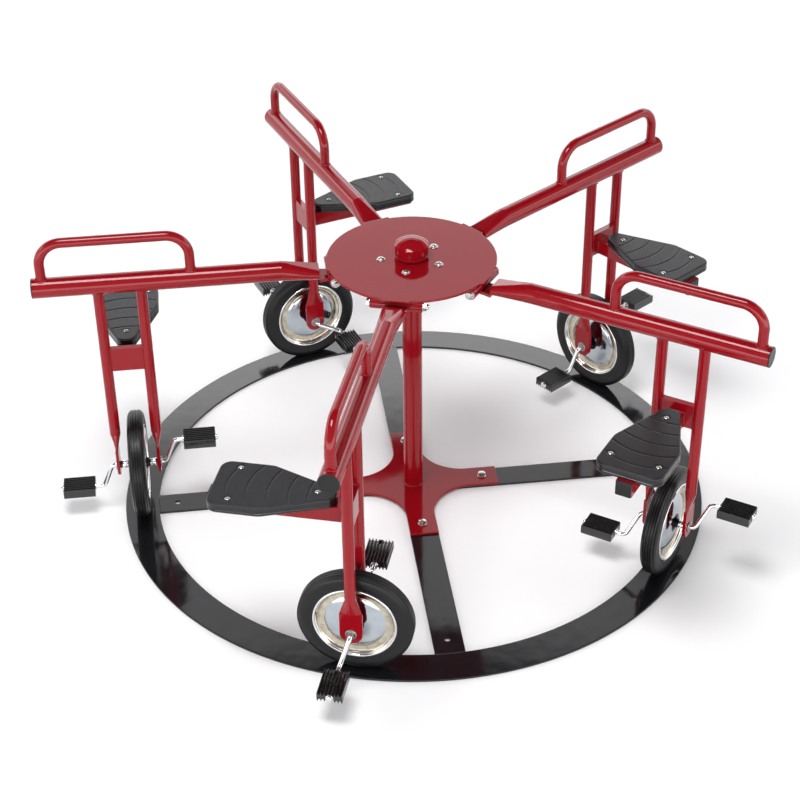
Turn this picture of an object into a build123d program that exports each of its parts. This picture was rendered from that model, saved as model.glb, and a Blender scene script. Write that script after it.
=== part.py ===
from build123d import *
from math import sqrt
import os

os.makedirs("parts", exist_ok=True)

# A pedal carousel for five children. A flat track ring and four radial bars lie on
# the ground. A cross plate bolted to the bars carries a post, and five hinged arms
# turn about the post, each one resting on its own pedalled wheel, which rolls on
# the ring. Millimetres, +Z up, origin on the ground at the centre of the post.
# A station is designed with its arm along +X, so that +Y is the way it travels.

# ---- how many, and where they stand ----
STATIONS = 5
FIRST_ARM_DEG = 36.0
STATION_STEP_DEG = 360.0 / STATIONS
CRANK_DEG = [97.0, 23.0, -95.0, -107.0, 57.0]   # outer crank of each wheel, up from +Y
BAR_COUNT = 4
BAR_STEP_DEG = 360.0 / BAR_COUNT

# ---- clearances ----
RUNNING_GAP = 0.05      # radial play of a shaft in its bush
STAND_OFF = 0.3         # between faces that pass each other
SEAT_GAP = 0.05         # radial play of a part pressed in and fixed
CUT_PAST = 1.0          # how far a bore or pocket is carried past the face it opens
TOUCH = 0.01            # two corners this near are the same corner

# ---- base ----
track_outer_r = 785.0
track_width = 90.0
flat_t = 6.0
bar_width = 76.0
bar_inner_end = 46.0
anchor_inset = 50.0     # from the ring's inner edge to an anchor hole
anchor_hole_r = 7.0
cross_reach = 232.0
cross_t = 6.0
cross_fillet_r = 115.0
cross_bolt_inset = 42.0
base_bolt_r = 6.0
base_bolt_flats = 19.0
base_bolt_head_t = 8.0
base_washer_r = 12.0
base_washer_t = 2.0

track_inner_r = track_outer_r - track_width
anchor_r = track_inner_r - anchor_inset
cross_bolt_r = cross_reach - cross_bolt_inset
cross_top = flat_t + cross_t
station_r = track_inner_r + 41.0     # the wheels roll just inside the middle of the ring

# ---- post and spindle ----
post_r = 25.4
post_wall = 3.9
post_top = 433.0
journal_r = 17.5
thread_r = 12.0
thread_length = 27.0
post_bore_r = post_r - post_wall

# ---- hub ----
boom_z = 705.0          # centre height of the arms
hub_plate_r = 216.0
hub_plate_t = 6.0
hub_plate_top = boom_z + 13.0
tab_overhang = 4.0
tab_width = 72.0
sleeve_lift = 0.6       # open joint between the post and the turning sleeve
flange_r = 95.0
flange_t = 8.0
bush_length = 44.0
bush_flange_r = 29.0
bush_flange_t = 3.0
thrust_washer_t = 2.5
hub_bolt_inset = 17.0
hub_bolt_r = 5.0
hub_bolt_head_r = 9.0
hub_bolt_head_h = 5.5
hub_bolt_rim_h = 1.0
hub_socket_flats = 5.0
hub_socket_floor = 2.2
hub_nut_flats = 17.0
hub_nut_t = 8.0
hub_thread_over = 2.0
cap_r = 43.5
cap_neck_r = 38.0
cap_neck_h = 8.0
cap_side_h = 31.0
cap_dome_h = 16.0
cap_wall = 3.0
spindle_nut_flats = 36.0
spindle_nut_t = 19.0
spindle_washer_r = 24.0
spindle_washer_t = 3.0

plate_under = hub_plate_top - hub_plate_t
tab_reach = hub_plate_r + tab_overhang
hub_bolt_circle_r = flange_r - hub_bolt_inset
bush_flange_top = hub_plate_top + bush_flange_t
spindle_washer_base = bush_flange_top + STAND_OFF
spindle_washer_top = spindle_washer_base + spindle_washer_t

# ---- arm hinge ----
hinge_inset = 16.0
knuckle_r = 14.0
knuckle_length = 40.0
knuckle_web = 18.0
sleeve_tube_r = 13.0
sleeve_tube_length = 50.0
hinge_bolt_r = 6.0
hinge_head_flats = 19.0
hinge_head_t = 7.5
hinge_nut_t = 11.0
hinge_thread_over = 2.5
hinge_washer_r = 12.0
hinge_washer_t = 2.0

hinge_r = hub_plate_r - hinge_inset
hinge_z = plate_under - knuckle_r
knuckle_inner_y = sleeve_tube_length / 2 + STAND_OFF
knuckle_outer_y = knuckle_inner_y + knuckle_length

# ---- arm frame ----
boom_r = 25.4
boom_wall = 3.0
boom_inner_end = hinge_r + 36.0
boom_round_from = hinge_r + 130.0
boom_tip = station_r + 215.0
boom_end_half_w = 31.5
boom_end_half_h = 17.0
boom_facet_end_z = boom_z + 4.5
boom_facet_length = 92.0
tongue_inner_end = hinge_r - 8.0
tongue_t = 8.5
tongue_root_width = 48.0
tongue_boom_width = 56.0
tongue_shoulder_x = hinge_r + knuckle_r + 2.0
plug_t = 3.0
plug_insert = 12.0

handle_r = 12.7
handle_inner_x = station_r - 180.0
handle_outer_x = station_r + 188.5
handle_z = boom_z + 123.0
handle_bend_r = 58.0
handle_wall = 2.0

leg_spacing = 107.0
leg_r = 14.0
leg_crimp_length = 42.0
crimp_swell = 0.5
paddle_t = 8.0
paddle_width = 55.0
paddle_rise = 60.0      # flat of the leg above the axle

seat_bar_z = 470.0
bracket_height = 66.0
bracket_lift = 12.0      # centre of the bracket above the centre of the seat bar
bracket_depth = 16.0
bracket_wall = 3.0
bar_square = 40.0
bar_wall = 2.5
seat_bar_end_y = -333.0
square_plug_t = 4.0
strap_length = 150.0
strap_width = 36.0
strap_t = 4.0
strap_y = -275.0

# ---- saddle ----
saddle_h = 24.0
saddle_rear_y = -325.0
saddle_wide_y = -200.0
saddle_nose_y = -36.0
saddle_half_w = 84.0
saddle_nose_half_w = 20.0
saddle_rear_corner_r = 28.0
saddle_side_corner_r = 45.0
saddle_nose_corner_r = 22.0
saddle_edge_r = 5.0
saddle_wall = 4.0
saddle_boss_r = 11.0
saddle_screw_y = -80.0
saddle_screw_x = 60.0
screw_r = 3.0
screw_head_r = 6.5
screw_head_h = 3.0
screw_head_round = 1.8
screw_under = 8.0       # screw below the face that the saddle rests on

bar_top = seat_bar_z + bar_square / 2
strap_top = bar_top + strap_t

# ---- wheel, crank and pedals ----
tyre_r = 142.0
tyre_width = 44.0
tyre_shoulder_r = 9.0
tyre_bead_inset = 2.0
tyre_bead_rise = 6.0
rim_lip_r = 103.0
rim_seat_r = 96.0
rim_width = 39.0
rim_band_t = 3.0
disc_t = 2.0
disc_edge_x = 12.0
disc_channel_x = 8.0
disc_channel_outer_r = 89.0
disc_channel_inner_r = 76.0
disc_dome_edge_x = 13.0
disc_dome_edge_r = 71.0
disc_dome_x = 16.5
disc_dome_r = 43.0
disc_crown_x = 18.0
disc_crown_r = 24.0
wheel_hub_r = 12.0
wheel_hub_length = 56.0
rod_r = 6.0
crank_radius = 70.0
crank_start_x = leg_spacing / 2 + 18.5
crank_end_x = crank_start_x + 26.0
crank_bend_r = 15.0
pedal_centre_x = crank_end_x + 67.0
pedal_length = 84.0
pedal_width = 62.0
pedal_t = 25.0
pedal_edge = 4.0
end_nut_r = 9.5
end_nut_t = 7.0
stop_washer_r = 9.5
stop_washer_t = 2.5
collar_r = 10.0
bush_r = 10.0
bush_ring_r = 14.0
bush_ring_t = 3.0

pedal_half_room = pedal_length / 2 + STAND_OFF
rod_end_x = pedal_centre_x + pedal_half_room + end_nut_t
rim_well_r = rim_seat_r - rim_band_t
axle_z = flat_t + STAND_OFF + tyre_r
leg_flat_from_z = axle_z + paddle_rise
leg_round_to_z = leg_flat_from_z + leg_crimp_length
paddle_inner = leg_spacing / 2 - paddle_t / 2


def station_deg(n):
    return FIRST_ARM_DEG + STATION_STEP_DEG * n


def rod_along_x(radius, x0, x1, z=0.0):
    return Pos((x0 + x1) / 2, 0, z) * Rot(0, 90, 0) * Cylinder(radius, x1 - x0)


def tube_along_x(outer, inner, x0, x1):
    return rod_along_x(outer, x0, x1) - rod_along_x(inner, x0 - CUT_PAST, x1 + CUT_PAST)


def rod_along_y(radius, y0, y1, x=0.0, z=0.0):
    return Pos(x, (y0 + y1) / 2, z) * Rot(90, 0, 0) * Cylinder(radius, y1 - y0)


def rod_along_z(radius, z0, z1, x=0.0, y=0.0):
    return Pos(x, y, (z0 + z1) / 2) * Cylinder(radius, z1 - z0)


def slab(x0, x1, y0, y1, z0, z1):
    centre = Pos((x0 + x1) / 2, (y0 + y1) / 2, (z0 + z1) / 2)
    return centre * Box(x1 - x0, y1 - y0, z1 - z0)


def ring_z(outer, inner, z0, z1):
    return Pos(0, 0, z0) * extrude(Circle(outer) - Circle(inner), z1 - z0)


def hexagon_z(flats, z0, z1):
    outline = RegularPolygon(flats / 2, 6, major_radius=False)
    return Pos(0, 0, z0) * extrude(outline, z1 - z0)


def turned_x(points):
    # a profile of (x, radius) points turned about the X axis
    return revolve(make_face(Polyline(*points, close=True)), Axis.X)


def write(name, shapes):
    solids = []
    for shape in shapes:
        solids.extend(shape.solids())
    whole = solids[0] if len(solids) == 1 else Compound(children=solids)
    export_step(whole, f"parts/{name}.step")
    print(name, len(solids))


# ---------------------------------------------------------------- base


def track_ring():
    return extrude(Circle(track_outer_r) - Circle(track_inner_r), flat_t)


def radial_bar(k):
    length = track_outer_r - bar_inner_end
    flat = Pos(bar_inner_end + length / 2, 0) * Rectangle(length, bar_width)
    flat = flat & Circle(track_inner_r)
    flat -= Pos(anchor_r, 0) * Circle(anchor_hole_r)
    flat -= Pos(cross_bolt_r, 0) * Circle(base_bolt_r + SEAT_GAP)
    return Rot(0, 0, BAR_STEP_DEG * k) * extrude(flat, flat_t)


def base_cross():
    outline = Rectangle(2 * cross_reach, bar_width) + Rectangle(bar_width, 2 * cross_reach)
    half = bar_width / 2
    inside = [v for v in outline.vertices() if abs(abs(v.X) - half) + abs(abs(v.Y) - half) < TOUCH]
    outline = fillet(inside, cross_fillet_r)
    for k in range(BAR_COUNT):
        hole = Pos(cross_bolt_r, 0) * Circle(base_bolt_r + SEAT_GAP)
        outline -= Rot(0, 0, BAR_STEP_DEG * k) * hole
    return Pos(0, 0, flat_t) * extrude(outline, cross_t)


def base_bolt(k):
    washer_top = cross_top + base_washer_t
    bolt = hexagon_z(base_bolt_flats, washer_top, washer_top + base_bolt_head_t)
    bolt += rod_along_z(base_washer_r, cross_top, washer_top)
    bolt += rod_along_z(base_bolt_r, 0, washer_top)
    return Rot(0, 0, BAR_STEP_DEG * k) * Pos(cross_bolt_r, 0, 0) * bolt


def centre_post():
    return ring_z(post_r, post_bore_r, cross_top, post_top)


def spindle():
    shaft = rod_along_z(post_bore_r - SEAT_GAP, cross_top, post_top)
    shaft += rod_along_z(journal_r, post_top, spindle_washer_base)
    shaft += rod_along_z(thread_r, spindle_washer_base, spindle_washer_base + thread_length)
    return shaft


def spindle_fittings():
    bore = thread_r + SEAT_GAP
    nut_top = spindle_washer_top + spindle_nut_t
    thrust = ring_z(post_bore_r - STAND_OFF, journal_r + RUNNING_GAP, post_top, post_top + thrust_washer_t)
    washer = ring_z(spindle_washer_r, bore, spindle_washer_base, spindle_washer_top)
    nut = hexagon_z(spindle_nut_flats, spindle_washer_top, nut_top)
    nut -= rod_along_z(bore, spindle_washer_top - CUT_PAST, nut_top + CUT_PAST)
    return [thrust, washer, nut]


# ---------------------------------------------------------------- hub


def hub_sleeve():
    tube = ring_z(post_r, post_bore_r, post_top + sleeve_lift, plate_under)
    flange = ring_z(flange_r, post_bore_r, plate_under - flange_t, plate_under)
    sleeve = tube + flange
    for n in range(STATIONS):
        bore = hub_bolt_r + SEAT_GAP
        under = plate_under - flange_t
        hole = rod_along_z(bore, under - CUT_PAST, plate_under + CUT_PAST, hub_bolt_circle_r)
        sleeve -= Rot(0, 0, station_deg(n)) * hole
    return sleeve


def hub_bushes():
    bore = journal_r + RUNNING_GAP
    body = post_bore_r - SEAT_GAP
    lower_base = post_top + thrust_washer_t + STAND_OFF
    lower = ring_z(body, bore, lower_base, lower_base + bush_length)
    upper = ring_z(body, bore, hub_plate_top - bush_length, hub_plate_top)
    upper += ring_z(bush_flange_r, bore, hub_plate_top, bush_flange_top)
    return [lower, upper]


def hub_plate():
    outline = Circle(hub_plate_r)
    for n in range(STATIONS):
        turn = Rot(0, 0, station_deg(n))
        outline += turn * (Pos(tab_reach / 2, 0) * Rectangle(tab_reach, tab_width))
    outline -= Circle(post_bore_r)
    for n in range(STATIONS):
        turn = Rot(0, 0, station_deg(n))
        outline -= turn * (Pos(hub_bolt_circle_r, 0) * Circle(hub_bolt_r + SEAT_GAP))
    return Pos(0, 0, plate_under) * extrude(outline, hub_plate_t)


def domed_form(sides, rise):
    # turned about Z: a profile of (radius, z) points, closed by a spherical cap on the last one
    rim_r, rim_z = sides[-1]
    ball_r = (rim_r * rim_r + rise * rise) / (2 * rise)
    ball_z = rim_z + rise - ball_r
    half_r = rim_r / 2
    half_z = ball_z + sqrt(ball_r * ball_r - half_r * half_r)
    top = (0, rim_z + rise)
    dome = ThreePointArc((rim_r, rim_z), (half_r, half_z), top)
    outline = Polyline((0, 0), *sides) + dome + Line(top, (0, 0))
    return revolve(Plane.XZ * make_face(outline), Axis.Z)


def hub_bolt(n):
    sides = [(hub_bolt_head_r, 0), (hub_bolt_head_r, hub_bolt_rim_h)]
    head = domed_form(sides, hub_bolt_head_h - hub_bolt_rim_h)
    head -= hexagon_z(hub_socket_flats, hub_socket_floor, hub_bolt_head_h + CUT_PAST)
    under = plate_under - flange_t
    bolt = Pos(0, 0, hub_plate_top) * head
    bolt += rod_along_z(hub_bolt_r, under - hub_nut_t - hub_thread_over, hub_plate_top)
    bolt += hexagon_z(hub_nut_flats, under - hub_nut_t, under)
    return Rot(0, 0, station_deg(n)) * Pos(hub_bolt_circle_r, 0, 0) * bolt


def cap_form(inset):
    # the domed cap on its narrower neck, drawn in by the wall thickness
    rim_z = cap_neck_h + cap_side_h
    outer = cap_r - inset
    neck = cap_neck_r - inset
    shoulder = cap_neck_h + inset
    return domed_form([(neck, 0), (neck, shoulder), (outer, shoulder), (outer, rim_z)], cap_dome_h - inset)


def hub_cap():
    return Pos(0, 0, hub_plate_top) * (cap_form(0) - cap_form(cap_wall))


def knuckle_pair(n):
    pair = []
    for side in (-1, 1):
        y0, y1 = sorted((side * knuckle_inner_y, side * knuckle_outer_y))
        tube = rod_along_y(knuckle_r, y0, y1, hinge_r, hinge_z)
        tube += slab(hinge_r - knuckle_web / 2, hinge_r + knuckle_web / 2, y0, y1, hinge_z, plate_under)
        tube -= rod_along_y(hinge_bolt_r + RUNNING_GAP, y0 - CUT_PAST, y1 + CUT_PAST, hinge_r, hinge_z)
        pair.append(Rot(0, 0, station_deg(n)) * tube)
    return pair


def hinge_bolt(n):
    # lies across the arm, with its head on the trailing side
    washer_y = knuckle_outer_y + hinge_washer_t
    turn = Pos(hinge_r, 0, hinge_z) * Rot(-90, 0, 0)
    nut_end = washer_y + hinge_nut_t
    bolt = rod_along_z(hinge_bolt_r, -washer_y, nut_end + hinge_thread_over)
    bolt += hexagon_z(hinge_head_flats, -washer_y - hinge_head_t, -washer_y)
    bolt += hexagon_z(hinge_head_flats, washer_y, nut_end)
    for side in (-1, 1):
        low, high = sorted((side * knuckle_outer_y, side * washer_y))
        bolt += rod_along_z(hinge_washer_r, low, high)
    return Rot(0, 0, station_deg(n)) * turn * bolt


# ---------------------------------------------------------------- arm frame


def boom_form(inset):
    # outside of the boom, or its bore when drawn in by the wall: round, then
    # squeezed to an oval at the hub end, with the underside kept straight
    low = boom_z - boom_r
    oval = Ellipse(boom_end_half_w - inset, boom_end_half_h - inset)
    oval_at = Plane((boom_inner_end, 0, low + boom_end_half_h), x_dir=(0, 1, 0), z_dir=(1, 0, 0))
    round_at = Plane((boom_round_from, 0, boom_z), x_dir=(0, 1, 0), z_dir=(1, 0, 0))
    neck = loft([oval_at * oval, round_at * Circle(boom_r - inset)])
    tube = rod_along_x(boom_r - inset, boom_round_from, boom_tip - plug_t, boom_z)
    start = boom_inner_end - CUT_PAST
    end = boom_inner_end + boom_facet_length
    clear_z = boom_z + 2 * boom_r
    above = Plane.XZ * make_face(
        Polyline(
            (start, boom_facet_end_z - inset),
            (end, boom_z + boom_r),
            (end, clear_z),
            (start, clear_z),
            close=True,
        )
    )
    return neck + tube - extrude(above, 2 * boom_end_half_w, both=True)


def boom():
    return boom_form(0) - boom_form(boom_wall)


def tongue():
    # lower wall of the boom carried on to the sleeve, as wide as the sleeve between the knuckles
    root = tongue_root_width / 2
    wide = tongue_boom_width / 2
    outline = make_face(
        Polyline(
            (tongue_inner_end, -root),
            (tongue_shoulder_x, -root),
            (boom_inner_end, -wide),
            (boom_inner_end, wide),
            (tongue_shoulder_x, root),
            (tongue_inner_end, root),
            close=True,
        )
    )
    plate = Pos(0, 0, boom_z - boom_r) * extrude(outline, tongue_t)
    return plate - rod_along_y(sleeve_tube_r, -wide - CUT_PAST, wide + CUT_PAST, hinge_r, hinge_z)


def hinge_sleeve():
    half = sleeve_tube_length / 2
    tube = rod_along_y(sleeve_tube_r, -half, half, hinge_r, hinge_z)
    bore = hinge_bolt_r + RUNNING_GAP
    return tube - rod_along_y(bore, -half - CUT_PAST, half + CUT_PAST, hinge_r, hinge_z)


def boom_outside():
    return rod_along_x(boom_r, boom_round_from, boom_tip, boom_z)


def handle():
    path = Plane.XZ * FilletPolyline(
        (handle_inner_x, boom_z),
        (handle_inner_x, handle_z),
        (handle_outer_x, handle_z),
        (handle_outer_x, boom_z),
        radius=handle_bend_r,
    )
    section = Plane((handle_inner_x, 0, boom_z), x_dir=(1, 0, 0), z_dir=(0, 0, 1))
    tube = sweep(section * (Circle(handle_r) - Circle(handle_r - handle_wall)), path=path)
    return tube - boom_outside()


def leg(side):
    # a round tube crimped to a flat paddle, with the axle hole in its rounded end
    x = station_r + side * leg_spacing / 2
    thin = paddle_t / 2
    wide = paddle_width / 2
    middle_z = (leg_round_to_z + leg_flat_from_z) / 2
    tube = rod_along_z(leg_r, leg_round_to_z, boom_z, x)
    crimp = loft(
        [
            Plane((x, 0, leg_round_to_z)) * Circle(leg_r),
            Plane((x, 0, middle_z)) * Ellipse((leg_r + thin) / 2, (leg_r + wide) / 2),
            Plane((x, 0, leg_flat_from_z)) * Ellipse(thin + crimp_swell, wide),
        ]
    )
    eye = rod_along_x(wide, x - thin, x + thin, axle_z)
    eye += slab(x - thin, x + thin, -wide, wide, axle_z, leg_flat_from_z)
    whole = tube + crimp + eye - boom_outside()
    return whole - rod_along_x(bush_r, x - paddle_t, x + paddle_t, axle_z)


def bracket():
    half = leg_spacing / 2
    low = seat_bar_z + bracket_lift - bracket_height / 2
    high = low + bracket_height
    depth = bracket_depth / 2
    x0 = station_r - half
    x1 = station_r + half
    tube = slab(x0, x1, -depth, depth, low, high)
    wall = bracket_wall
    tube -= slab(x0 - CUT_PAST, x1 + CUT_PAST, -depth + wall, depth - wall, low + wall, high - wall)
    for x in (x0, x1):
        tube -= rod_along_z(leg_r, low - CUT_PAST, high + CUT_PAST, x)
    return tube


def seat_bar():
    half = bar_square / 2
    start = -bracket_depth / 2
    inner = half - bar_wall
    bar = slab(station_r - half, station_r + half, seat_bar_end_y, start, seat_bar_z - half, bar_top)
    bar -= slab(
        station_r - inner,
        station_r + inner,
        seat_bar_end_y - CUT_PAST,
        start + CUT_PAST,
        seat_bar_z - inner,
        seat_bar_z + inner,
    )
    return bar - rod_along_z(screw_r + SEAT_GAP, seat_bar_z, bar_top + CUT_PAST, station_r, saddle_screw_y)


def seat_strap():
    half = strap_length / 2
    strap = slab(
        station_r - half,
        station_r + half,
        strap_y - strap_width / 2,
        strap_y + strap_width / 2,
        bar_top,
        strap_top,
    )
    for side in (-1, 1):
        x = station_r + side * saddle_screw_x
        strap -= rod_along_z(screw_r + SEAT_GAP, bar_top - CUT_PAST, strap_top + CUT_PAST, x, strap_y)
    return strap


def arm_frame():
    return [boom(), tongue(), hinge_sleeve(), handle(), leg(-1), leg(1), bracket(), seat_bar(), seat_strap()]


def end_plugs():
    insert_r = boom_r - boom_wall - SEAT_GAP
    round_plug = rod_along_x(boom_r, boom_tip - plug_t, boom_tip, boom_z)
    round_plug = fillet(round_plug.edges().group_by(Axis.X)[-1], plug_t / 2)
    round_plug += rod_along_x(insert_r, boom_tip - plug_t - plug_insert, boom_tip - plug_t, boom_z)
    half = bar_square / 2
    core = half - bar_wall - SEAT_GAP
    end = seat_bar_end_y - square_plug_t
    x0 = station_r - half
    x1 = station_r + half
    square = slab(x0, x1, end, seat_bar_end_y, seat_bar_z - half, seat_bar_z + half)
    square = fillet(square.edges().group_by(Axis.Y)[0], square_plug_t / 2)
    square += slab(
        station_r - core,
        station_r + core,
        seat_bar_end_y,
        seat_bar_end_y + plug_insert,
        seat_bar_z - core,
        seat_bar_z + core,
    )
    return [round_plug, square]


# ---------------------------------------------------------------- saddle


def saddle_outline():
    points = [
        (-saddle_half_w, saddle_rear_y),
        (saddle_half_w, saddle_rear_y),
        (saddle_half_w, saddle_wide_y),
        (saddle_nose_half_w, saddle_nose_y),
        (-saddle_nose_half_w, saddle_nose_y),
        (-saddle_half_w, saddle_wide_y),
    ]
    outline = make_face(Polyline(*points, close=True))
    by_y = outline.vertices().group_by(Axis.Y)
    outline = fillet(by_y[0], saddle_rear_corner_r)
    wide = [v for v in outline.vertices() if abs(v.Y - saddle_wide_y) < TOUCH]
    outline = fillet(wide, saddle_side_corner_r)
    nose = outline.vertices().group_by(Axis.Y)[-1]
    return fillet(nose, saddle_nose_corner_r)


def saddle_screws():
    rear = [(side * saddle_screw_x, strap_y, strap_top) for side in (-1, 1)]
    return [(0, saddle_screw_y, bar_top)] + rear


def saddle():
    outline = saddle_outline()
    body = extrude(outline, saddle_h)
    body = fillet(body.edges().group_by(Axis.Z)[-1], saddle_edge_r)
    hollow = extrude(offset(outline, -saddle_wall), saddle_h - saddle_wall)
    body -= hollow
    shell = Pos(station_r, 0, bar_top) * body
    # the strap passes under the rear bosses, clear of the skirt
    top = bar_top + saddle_h
    for x, y, seat in saddle_screws():
        shell += rod_along_z(saddle_boss_r, seat, top - saddle_wall / 2, station_r + x, y)
    for x, y, seat in saddle_screws():
        shell -= rod_along_z(screw_r + SEAT_GAP, bar_top - CUT_PAST, top + CUT_PAST, station_r + x, y)
    return shell


def saddle_screw(x, y, seat):
    top = bar_top + saddle_h
    head = rod_along_z(screw_head_r, top, top + screw_head_h)
    head = fillet(head.edges().group_by(Axis.Z)[-1], screw_head_round)
    screw = head + rod_along_z(screw_r, seat - screw_under, top)
    return Pos(station_r + x, y, 0) * screw


def axle_bush(side):
    x = station_r + side * leg_spacing / 2
    face = x + side * paddle_t / 2
    back = x - side * paddle_t / 2
    b0, b1 = sorted((back, face))
    f0, f1 = sorted((face, face + side * bush_ring_t))
    bush = rod_along_x(bush_r - SEAT_GAP, b0, b1, axle_z)
    bush += rod_along_x(bush_ring_r, f0, f1, axle_z)
    return bush - rod_along_x(rod_r + RUNNING_GAP, min(b0, f0) - CUT_PAST, max(b1, f1) + CUT_PAST, axle_z)


def station_fittings():
    screws = [saddle_screw(*place) for place in saddle_screws()]
    return screws + [axle_bush(-1), axle_bush(1)]


# ---------------------------------------------------------------- wheel


def wheel_place(n):
    # wheels and cranks are drawn about the X axis, outer crank pointing along +Y
    return Pos(station_r, 0, axle_z) * Rot(CRANK_DEG[n], 0, 0)


def tyre():
    half = tyre_width / 2
    seat_half = rim_width / 2 - disc_t - SEAT_GAP
    bead_r = rim_lip_r + SEAT_GAP
    wall_r = bead_r + tyre_bead_rise
    profile = make_face(
        Polyline(
            (-seat_half, rim_seat_r + SEAT_GAP),
            (seat_half, rim_seat_r + SEAT_GAP),
            (seat_half, bead_r),
            (half - tyre_bead_inset, bead_r),
            (half, wall_r),
            (half, tyre_r),
            (-half, tyre_r),
            (-half, wall_r),
            (-half + tyre_bead_inset, bead_r),
            (-seat_half, bead_r),
            close=True,
        )
    )
    corners = [v for v in profile.vertices() if abs(v.Y - tyre_r) < TOUCH]
    return revolve(fillet(corners, tyre_shoulder_r), Axis.X)


def rim_band():
    # flat seat for the tyre between two upright lips
    half = rim_width / 2
    return turned_x(
        [
            (-half, rim_well_r),
            (half, rim_well_r),
            (half, rim_lip_r),
            (half - disc_t, rim_lip_r),
            (half - disc_t, rim_seat_r),
            (-half + disc_t, rim_seat_r),
            (-half + disc_t, rim_lip_r),
            (-half, rim_lip_r),
        ]
    )


def wheel_disc(side):
    # pressed disc: a flat channel beside the rim, a step, then a shallow dome
    face = [
        (rim_well_r, disc_edge_x),
        (disc_channel_outer_r, disc_channel_x),
        (disc_channel_inner_r, disc_channel_x),
        (disc_dome_edge_r, disc_dome_edge_x),
        (disc_dome_r, disc_dome_x),
        (disc_crown_r, disc_crown_x),
        (wheel_hub_r, disc_crown_x),
    ]
    front = [(side * (depth + disc_t), radius) for radius, depth in face]
    back = [(side * depth, radius) for radius, depth in reversed(face)]
    return turned_x(front + back)


def wheel_hub():
    half = wheel_hub_length / 2
    return tube_along_x(wheel_hub_r, rod_r + SEAT_GAP, -half, half)


def rim():
    return [rim_band(), wheel_disc(-1), wheel_disc(1), wheel_hub()]


def crank_rod():
    path = FilletPolyline(
        (-rod_end_x, -crank_radius),
        (-crank_end_x, -crank_radius),
        (-crank_start_x, 0),
        (crank_start_x, 0),
        (crank_end_x, crank_radius),
        (rod_end_x, crank_radius),
        radius=crank_bend_r,
    )
    section = Plane((-rod_end_x, -crank_radius, 0), x_dir=(0, 1, 0), z_dir=(1, 0, 0))
    return sweep(section * Circle(rod_r), path=path)


def crank():
    # the rod, a collar each side of the wheel, and a washer and nut that keep each pedal on
    hub_half = wheel_hub_length / 2
    bore = rod_r + SEAT_GAP
    washer_face = pedal_centre_x - pedal_half_room
    parts = [crank_rod()]
    for side in (-1, 1):
        on_pedal = Pos(0, side * crank_radius, 0)
        x0, x1 = sorted((side * hub_half, side * (paddle_inner - STAND_OFF)))
        parts.append(tube_along_x(collar_r, bore, x0, x1))
        x0, x1 = sorted((side * (washer_face - stop_washer_t), side * washer_face))
        parts.append(on_pedal * tube_along_x(stop_washer_r, bore, x0, x1))
        x0, x1 = sorted((side * (rod_end_x - end_nut_t), side * rod_end_x))
        parts.append(on_pedal * tube_along_x(end_nut_r, bore, x0, x1))
    return parts


def pedal(n, side):
    # drawn level at the end of its crank, whatever way the crank points
    block = Box(pedal_length, pedal_width, pedal_t)
    block = chamfer(block.edges().filter_by(Axis.X), pedal_edge)
    block -= rod_along_x(rod_r + RUNNING_GAP, -pedal_length, pedal_length)
    centre = wheel_place(n) * Pos(side * pedal_centre_x, side * crank_radius, 0)
    return Pos(*centre.position) * block


# ---------------------------------------------------------------- write the nodes

write("track_ring", [track_ring()])
write("radial_bars", [radial_bar(k) for k in range(BAR_COUNT)])
write("base_cross", [base_cross()])
write("base_bolts", [base_bolt(k) for k in range(BAR_COUNT)])
write("centre_post", [centre_post()])
write("spindle", [spindle()])
write("spindle_fittings", spindle_fittings())

write("hub_sleeve", [hub_sleeve()])
write("hub_bushes", hub_bushes())
write("hub_plate", [hub_plate()])
write("hub_bolts", [hub_bolt(n) for n in range(STATIONS)])
write("hub_cap", [hub_cap()])
write("hinge_knuckles", [tube for n in range(STATIONS) for tube in knuckle_pair(n)])
write("hinge_bolts", [hinge_bolt(n) for n in range(STATIONS)])

frame_solids = arm_frame()
plug_solids = end_plugs()
saddle_solid = saddle()
fitting_solids = station_fittings()
tyre_solid = tyre()
rim_solids = rim()
crank_solids = crank()

for n in range(STATIONS):
    station = n + 1
    turn = Rot(0, 0, station_deg(n))
    wheel = turn * wheel_place(n)
    write(f"arm_frame_{station}", [turn * solid for solid in frame_solids])
    write(f"end_plugs_{station}", [turn * solid for solid in plug_solids])
    write(f"saddle_{station}", [turn * saddle_solid])
    write(f"station_fittings_{station}", [turn * solid for solid in fitting_solids])
    write(f"tyre_{station}", [wheel * tyre_solid])
    write(f"rim_{station}", [wheel * solid for solid in rim_solids])
    write(f"crank_{station}", [wheel * solid for solid in crank_solids])
    write(f"pedal_outer_{station}", [turn * pedal(n, 1)])
    write(f"pedal_inner_{station}", [turn * pedal(n, -1)])
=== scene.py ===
import math

import bmesh
import bpy
from mathutils import Matrix, Vector, noise


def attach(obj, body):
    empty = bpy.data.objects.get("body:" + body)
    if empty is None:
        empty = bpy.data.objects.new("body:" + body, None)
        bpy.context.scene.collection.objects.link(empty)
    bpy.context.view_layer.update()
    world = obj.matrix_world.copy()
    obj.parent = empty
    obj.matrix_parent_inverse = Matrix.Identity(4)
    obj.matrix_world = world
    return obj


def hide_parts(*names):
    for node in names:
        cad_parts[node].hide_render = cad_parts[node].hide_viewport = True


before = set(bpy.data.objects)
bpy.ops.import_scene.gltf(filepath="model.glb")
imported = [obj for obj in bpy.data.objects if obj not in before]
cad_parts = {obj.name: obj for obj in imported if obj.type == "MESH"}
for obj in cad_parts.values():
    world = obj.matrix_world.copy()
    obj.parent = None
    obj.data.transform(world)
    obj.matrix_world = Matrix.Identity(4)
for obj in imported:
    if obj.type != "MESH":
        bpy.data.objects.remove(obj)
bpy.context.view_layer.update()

MM = 0.001

# ------------------------------------------------------------ sizes, in millimetres

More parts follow.
